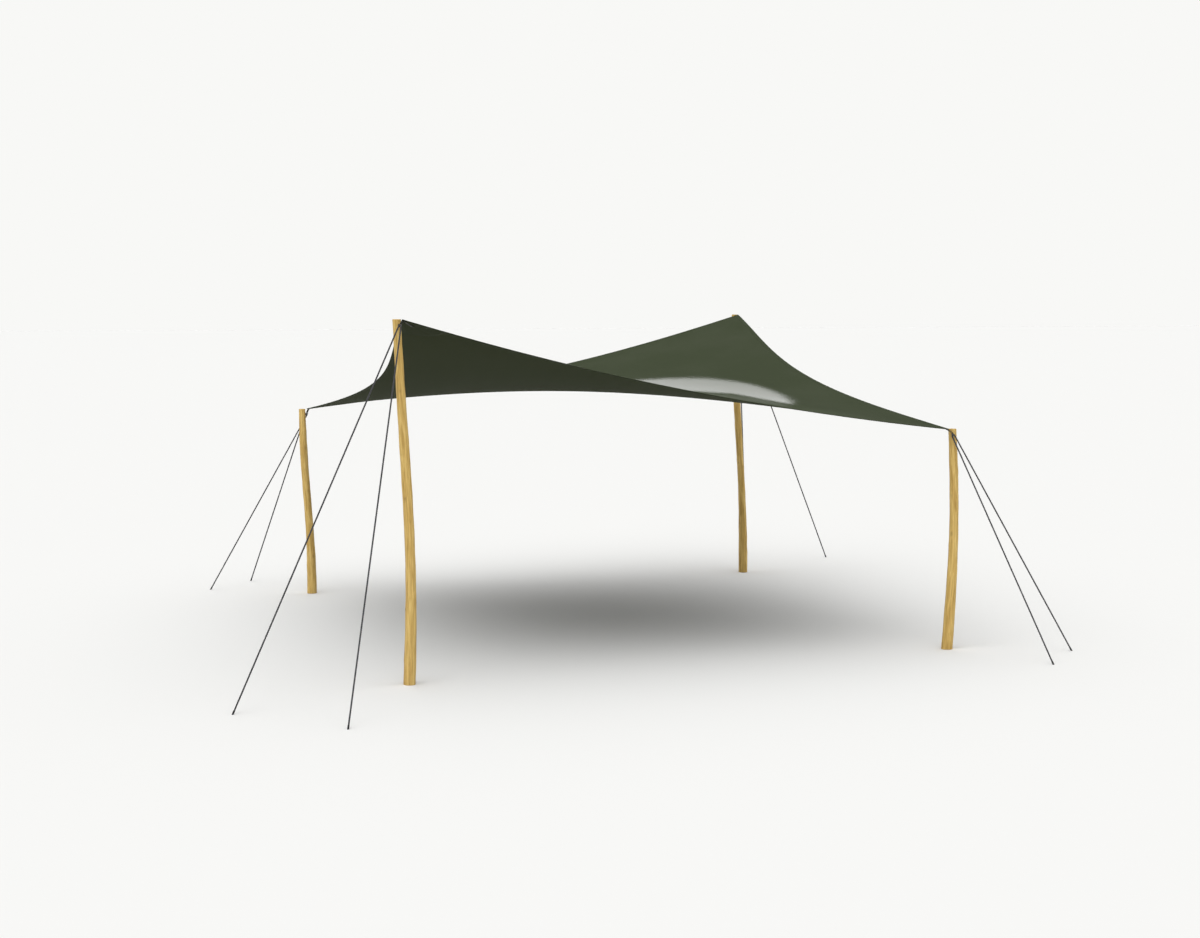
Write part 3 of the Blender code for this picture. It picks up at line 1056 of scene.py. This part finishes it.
def makeLoop(name):
    eye = eyeFrame(name)
    outwards = unit(np.array([*cornerSides[name], 0.0]))
    path = loopPath(name, eye, outwards)
    along = unit(np.gradient(path, axis=0))
    flatSide = np.cross([0, 0, 1.0], outwards)
    if flatSide.dot(eye["out"]) < 0:
        flatSide = -flatSide
    away = np.linalg.norm(path - eye["centre"], axis=1)
    near = np.exp(-(away / loopShape["twistReach"]) ** 2)[:, None]
    side = unit(eye["out"] * near + flatSide * (1 - near))
    side = unit(side - along * (side * along).sum(1, keepdims=True))
    up = np.cross(along, side)
    w = loopShape["width"] / 2
    h = loopShape["thickness"] / 2
    inset = w - h / 2
    outline = [(-inset, h), (-w / 2, h), (0, h), (w / 2, h), (inset, h), (w, 0.0),
               (inset, -h), (w / 2, -h), (0, -h), (-w / 2, -h), (-inset, -h), (-w, 0.0)]
    points = np.stack([path + side * a + up * b for a, b in outline], 1).reshape(-1, 3)
    uvs = [(far, a) for far in runLength(path) for a, b in outline]
    item = newPiece("loop_" + name, points, tubeFaces(len(outline), len(path)), ["webbing"], uvs)
    mendMesh(item.data)
    sharpen(item, 50)
    return item


loops = [finishPiece(makeLoop(name), "webbing", "corner_loop_" + name) for name in cornerSides]
print("loops made")


# Geometry Nodes. A tree's sizes have the names of its shape's entries.

stitchShape = {
    "pitch": 0.0095,
    "length": 0.0066,
    "width": 0.0010,
    "height": 0.0007,
    "seed": 3,
    "hemSamples": 900,     # points that follow the sheet, in a line
    "patchSamples": 120,
    "hemEnds": 0.002,      # share of a hem left free at each end
    "patchEnds": 0.002,    # from the hems to a patch's lines
}

ropeShape = {
    "radius": 0.0070,
    "strands": 3,
    "twist": 0.052,        # length of one turn
    "step": 0.0042,
    "bendGap": 0.0003,
    "bendStep": 0.003,
    "leave": 0.022,        # from the eye to where a leg runs straight
    "tuck": 0.030,         # run into the ground, before the ends are cut level
    "whipping": 0.032,
    "whippingRadius": 0.0076,
    "whippingSides": 20,
    "whippingEdge": (0.001, 0.0007),   # height and depth of its chamfer
}


def shapeTree(name, shape, keys):
    kinds = {int: "Int", float: "Float"}
    sizes = {key.capitalize(): (kinds[type(shape[key])], shape[key]) for key in keys}
    return newTree(name, "Geometry",
                   {"Geometry": ("Geometry", None), **sizes, "Material": ("Material", None)},
                   {"Geometry": "Geometry"})


def closeTree(tree, geometry, given, result):
    whole = addNode(tree, "GeometryNodeRealizeInstances", {0: geometry})[0]
    painted = addNode(tree, "GeometryNodeSetMaterial",
                      {"Geometry": whole, "Material": given["Material"]})[0]
    feed(tree, result, {0: painted})
    return tree


def evenCurve(tree, given, pitch):
    lines = addNode(tree, "GeometryNodeMeshToCurve", {0: given["Geometry"]})[0]
    return addNode(tree, "GeometryNodeResampleCurve", {"Curve": lines, "Length": pitch},
                   mode="LENGTH")[0]


def keepValue(tree, geometry, name, value):
    return addNode(tree, "GeometryNodeStoreNamedAttribute",
                   {"Geometry": geometry, "Name": name, "Value": value},
                   data_type="FLOAT", domain="POINT")[0]


def makeStitchTree():
    # Seats a small lozenge of thread at every pitch along each line of the input mesh.
    tree, given, result = shapeTree("stitches", stitchShape,
                                    ("pitch", "length", "width", "height", "seed"))
    even = evenCurve(tree, given, given["Pitch"])
    up = addNode(tree, "GeometryNodeInputNamedAttribute", {"Name": "up"},
                 data_type="FLOAT_VECTOR")[0]
    tangent = addNode(tree, "GeometryNodeInputTangent")[0]
    upright = addNode(tree, "FunctionNodeAlignRotationToVector", {"Vector": up}, axis="Z")[0]
    facing = addNode(tree, "FunctionNodeAlignRotationToVector",
                     {"Rotation": upright, "Vector": tangent}, axis="X", pivot_axis="Z")[0]
    jitter = addNode(tree, "FunctionNodeRandomValue",
                     {"Min": (0.85, 0.9, 0.9), "Max": (1.1, 1.1, 1.1), "Seed": given["Seed"]},
                     data_type="FLOAT_VECTOR")[0]
    bead = addNode(tree, "GeometryNodeMeshUVSphere", {"Segments": 6, "Rings": 4, "Radius": 0.5})[0]
    size = addNode(tree, "ShaderNodeCombineXYZ",
                   {0: given["Length"], 1: given["Width"], 2: given["Height"]})[0]
    laid = addNode(tree, "GeometryNodeTransform",
                   {"Geometry": bead, "Rotation": (0, math.pi / 2, 0)})[0]
    lozenge = addNode(tree, "GeometryNodeTransform", {"Geometry": laid, "Scale": size})[0]
    copies = addNode(tree, "GeometryNodeInstanceOnPoints",
                     {"Points": even, "Instance": lozenge, "Rotation": facing, "Scale": jitter})[0]
    return closeTree(tree, copies, given, result)


def makeRopeTree():
    # Sweeps a rope of round strands along a path. The strands turn once every Twist.
    tree, given, result = shapeTree("laidRope", ropeShape, ("radius", "strands", "twist", "step"))
    even = evenCurve(tree, given, given["Step"])
    length = addNode(tree, "GeometryNodeSplineParameter")["Length"]
    kept = keepValue(tree, even, "along", length)
    tilt = product(tree, mathNode(tree, "DIVIDE", length, given["Twist"]), fullTurn)
    tilted = addNode(tree, "GeometryNodeSetCurveTilt", {"Curve": kept, "Tilt": tilt})[0]
    circle = addNode(tree, "GeometryNodeCurvePrimitiveCircle",
                     {"Resolution": 24, "Radius": given["Radius"]})[0]
    turn = product(tree, addNode(tree, "GeometryNodeSplineParameter")["Factor"], fullTurn)
    lobe = mathNode(tree, "SINE", product(tree, turn, given["Strands"], 0.5))
    bulge = mathNode(tree, "POWER", mathNode(tree, "ABSOLUTE", lobe), 0.6)
    position = addNode(tree, "GeometryNodeInputPosition")[0]
    shaped = addNode(tree, "ShaderNodeVectorMath",
                     {0: position, "Scale": rescale(tree, bulge, 0.30, 0.70)}, operation="SCALE")[0]
    section = addNode(tree, "GeometryNodeSetPosition", {"Geometry": circle, "Position": shaped})[0]
    section = keepValue(tree, section, "around", product(tree, turn, given["Radius"]))
    swept = addNode(tree, "GeometryNodeCurveToMesh",
                    {"Curve": tilted, "Profile Curve": section, "Fill Caps": True})[0]
    smooth = addNode(tree, "GeometryNodeSetShadeSmooth", {"Geometry": swept})[0]
    return closeTree(tree, smooth, given, result)


def lineObject(name, lines, ups=None):
    # Open lines of points as one mesh of edges, with the way up at each point.
    edges = []
    first = 0
    for line in lines:
        edges += [(first + i, first + i + 1) for i in range(len(line) - 1)]
        first += len(line)
    mesh = bpy.data.meshes.new(name)
    mesh.from_pydata([tuple(p) for p in np.vstack(lines)], edges, [])
    item = addObject(name, mesh)
    if ups is not None:
        addVectors(item, "up", np.vstack(ups))
    return item


def runTree(item, tree, shape, material):
    values = {key.capitalize(): value for key, value in shape.items()}
    values["Material"] = material
    modifier = item.modifiers.new("build", "NODES")
    modifier.node_group = tree
    for socket in tree.interface.items_tree:
        if socket.item_type == "SOCKET" and socket.in_out == "INPUT" and socket.name in values:
            modifier[socket.identifier] = values[socket.name]
    bpy.context.view_layer.update()
    shown = item.evaluated_get(bpy.context.evaluated_depsgraph_get())
    mesh = bpy.data.meshes.new_from_object(shown)
    item.modifiers.remove(modifier)
    old = item.data
    item.data = mesh
    mesh.name = item.name
    bpy.data.meshes.remove(old)
    return item


stitchTree = makeStitchTree()
ropeTree = makeRopeTree()


def makeStitches(name, lines):
    # Each line is its points and the way up at each of them.
    item = lineObject(name, [points for points, _ in lines], [up for _, up in lines])
    runTree(item, stitchTree, stitchShape, materials["thread"])
    item.data.shade_smooth()
    return finishPiece(item, "webbing")


def hemStitches(edge):
    ends = stitchShape["hemEnds"]
    t = np.linspace(ends, 1 - ends, stitchShape["hemSamples"])
    height = hemShape["half"] - hemShape["rowDip"] * 0.6
    lines = []
    for row in hemShape["rows"]:
        u, v = edgePlace(edge, t, row)
        normal = sheetNormal(u, v)
        lines += [(onSheet(u, v, face * height), normal * face) for face in (1, -1)]
    return makeStitches("stitches_hem_" + edge, lines)


def patchStitches(name):
    half = sheetShape["thickness"] / 2
    start = hemShape["width"] + stitchShape["patchEnds"]
    lines = []
    for row in patchShape["rows"]:
        radius = patchShape["radius"] - row
        limit = math.asin(start / radius)
        angle = np.linspace(limit, math.pi / 2 - limit, stitchShape["patchSamples"])
        u, v = fromCorner(name, radius * np.cos(angle), radius * np.sin(angle))
        normal = sheetNormal(u, v)
        lines.append((onSheet(u, v, half), normal))
        lines.append((onSheet(u, v, -half - patchShape["thickness"]), -normal))
    return makeStitches("stitches_patch_" + name, lines)


seams = [hemStitches(edge) for edge in edgeEnds] + [patchStitches(name) for name in cornerSides]
print("stitches made")


# Guy ropes: one rope at each corner runs through the eye, with a leg down to each anchor

def ropePath(name):
    # The path, and for each end its anchor and the way that the rope runs into it.
    eye = eyeFrame(name)
    first, last = anchorPoints(name)
    side = 1 if (first - last).dot(eye["normal"]) > 0 else -1
    normal = eye["normal"] * side
    wire = eye["centre"] + eye["pull"] * eyeShape["ring"]
    bend = eyeShape["wire"] + ropeShape["radius"] + ropeShape["bendGap"]
    arc = []
    for degrees in range(0, 181, 15):
        a = math.radians(degrees)
        arc.append(wire + bend * (normal * math.cos(a) - eye["pull"] * math.sin(a)))
    ends = []
    legs = []
    for start, anchor in ((arc[0], first), (arc[-1], last)):
        run = unit(anchor - start)
        ends.append((anchor, run))
        legs.append([start + run * ropeShape["leave"] * share for share in (1, 2.5)])
    middle = smoothPath(legs[0][::-1] + arc + legs[1], ropeShape["bendStep"])
    tips = [anchor + run * ropeShape["tuck"] for anchor, run in ends]
    return np.vstack([tips[:1], middle, tips[1:]]), ends


def cutLevel(points, run, among=True):
    # Slides what lies below the ground back along the rope, so that its end is cut level.
    low = (points[:, 2] < 0) & among
    points[low] -= run * (points[low, 2:] / run[2])


def makeRope(name):
    path, ends = ropePath(name)
    item = lineObject("rope_" + name, [path])
    runTree(item, ropeTree, ropeShape, materials["rope"])
    points = meshPoints(item.data)
    for anchor, run in ends:
        cutLevel(points, run, np.linalg.norm(points[:, :2] - anchor[:2], axis=1) < 0.1)
    item.data.vertices.foreach_set("co", points.ravel())
    item.data.update()
    sharpen(item, 60)
    return finishPiece(item, "guy_rope", "guy_rope_%s_1" % name, "guy_rope_%s_2" % name)


def makeWhippings(name):
    # Bands of twine that bind the rope's ends.
    radius = ropeShape["whippingRadius"]
    top = ropeShape["whipping"]
    sides = ropeShape["whippingSides"]
    high, deep = ropeShape["whippingEdge"]
    stations = [(-ropeShape["tuck"], radius), (top - high, radius), (top, radius - deep)]
    parts = []
    for anchor, run in ropePath(name)[1]:
        points, faces = turned(anchor, -run, stations, sides)
        cutLevel(points, run)
        parts.append((points, faces))
    item = newPiece("whipping_" + name, *joinParts(parts), ["whipping"])
    addFloats(item, "along", [far for far, _ in stations for _ in range(sides)] * 2)
    mendMesh(item.data)
    sharpen(item, 50)
    return finishPiece(item, "guy_rope")


for make in (makeRope, makeWhippings):
    for name in cornerSides:
        make(name)
print("ropes made")


# Floor, light and camera

stageLook = {
    "floorSize": 400.0,
    "floorColour": (0.800, 0.800, 0.787),
    "backdrop": (0.939, 0.939, 0.922),
    "sky": 0.915,              # a dome that is dark at the horizon and bright overhead
    "skySlope": 3.257,
    "skyMiddle": 0.667,
    "sun": 0.845,              # a wide soft light, from high at the front left
    "sunPlace": (-5.08, -5.72, 10.0),
    "sunAngle": 63.0,
    "cardSize": (57.4, 189.0),   # a far card of light that only gloss shows
    "cardBearing": 20.8,       # degrees to the right of +Y
    "cardHeight": 7.5,         # degrees over the ground, as seen from the canopy
    "cardTurn": -4.0,
    "cardFar": 400.0,
    "cardAim": (1.2, 0.0, 2.3),
    "cardPower": 148000.0,
}

cameraPlace = {
    "position": (-5.579, -17.105, 3.120),
    "yaw": 18.079,         # degrees to the right of +Y
    "pitch": -5.190,
    "focal": 1823.2,       # pixels, in a picture 1200 wide
    "width": 1200,
}


def makeFloor():
    size = stageLook["floorSize"] / 2
    mesh = bpy.data.meshes.new("floor")
    corners = [(-size, -size, 0), (size, -size, 0), (size, size, 0), (-size, size, 0)]
    mesh.from_pydata(corners, [], [(0, 1, 2, 3)])
    mesh.materials.append(newMaterial("paleFloor", {
        "Base Color": (*stageLook["floorColour"], 1), "Roughness": 1.0,
        "Specular IOR Level": 0.0})[0])
    addObject("floor", mesh)


def makeSky():
    world = bpy.data.worlds.new("studio")
    world.use_nodes = True
    tree = world.node_tree
    dome = tree.nodes["Background"]
    height = splitNode(tree, addNode(tree, "ShaderNodeTexCoord")["Generated"])["Z"]
    slope = stageLook["skySlope"]
    rise = rescale(tree, height, slope, 1 - slope * stageLook["skyMiddle"])
    bright = product(tree, mathNode(tree, "MAXIMUM", rise, 0.0), stageLook["sky"])
    feed(tree, dome, {"Strength": bright, "Color": (1, 1, 1, 1)})
    backdrop = addNode(tree, "ShaderNodeBackground", {"Color": (*stageLook["backdrop"], 1)})[0]
    direct = addNode(tree, "ShaderNodeLightPath")["Is Camera Ray"]
    both = addNode(tree, "ShaderNodeMixShader", {0: direct, 1: dome.outputs[0], 2: backdrop})[0]
    feed(tree, tree.nodes["World Output"], {"Surface": both})
    world.cycles_visibility.glossy = False
    bpy.context.scene.world = world


def addLight(name, kind, settings, place, rotation):
    data = bpy.data.lights.new(name, kind)
    for key, value in settings.items():
        setattr(data, key, value)
    light = addObject(name, data)
    light.location = place
    light.rotation_euler = rotation
    return light


def makeSun():
    place = Vector(stageLook["sunPlace"])
    addLight("softSun", "SUN", {"energy": stageLook["sun"],
                                "angle": math.radians(stageLook["sunAngle"])},
             place, (-place).to_track_quat("-Z", "Y").to_euler())


def makeCard():
    bearing, height, turn = (math.radians(stageLook[key])
                             for key in ("cardBearing", "cardHeight", "cardTurn"))
    outwards = np.array([math.sin(bearing) * math.cos(height), math.cos(bearing) * math.cos(height),
                         math.sin(height)])
    right = np.array([math.cos(bearing), -math.sin(bearing), 0])
    up = np.cross(right, outwards)
    short = right * math.cos(turn) + up * math.sin(turn)
    tall = up * math.cos(turn) - right * math.sin(turn)
    wide, high = stageLook["cardSize"]
    place = np.array(stageLook["cardAim"]) + outwards * stageLook["cardFar"]
    facing = Matrix([tuple(row) for row in (-short, tall, outwards)]).transposed()
    card = addLight("glossCard", "AREA", {"shape": "ELLIPSE", "size": wide, "size_y": high,
                                          "energy": stageLook["cardPower"]},
                    tuple(place), facing.to_euler())
    card.visible_camera = False
    card.visible_diffuse = False


def makeCamera():
    data = bpy.data.cameras.new("camera")
    data.sensor_fit = "HORIZONTAL"
    data.sensor_width = 36.0
    data.lens = cameraPlace["focal"] * data.sensor_width / cameraPlace["width"]
    data.clip_end = 1000
    camera = addObject("camera", data)
    camera.location = cameraPlace["position"]
    camera.rotation_euler = (math.radians(90 + cameraPlace["pitch"]), 0,
                             -math.radians(cameraPlace["yaw"]))
    bpy.context.scene.camera = camera


makeFloor()
makeSky()
makeSun()
makeCard()
makeCamera()
bpy.context.scene.view_settings.view_transform = "Standard"

print("stage made")
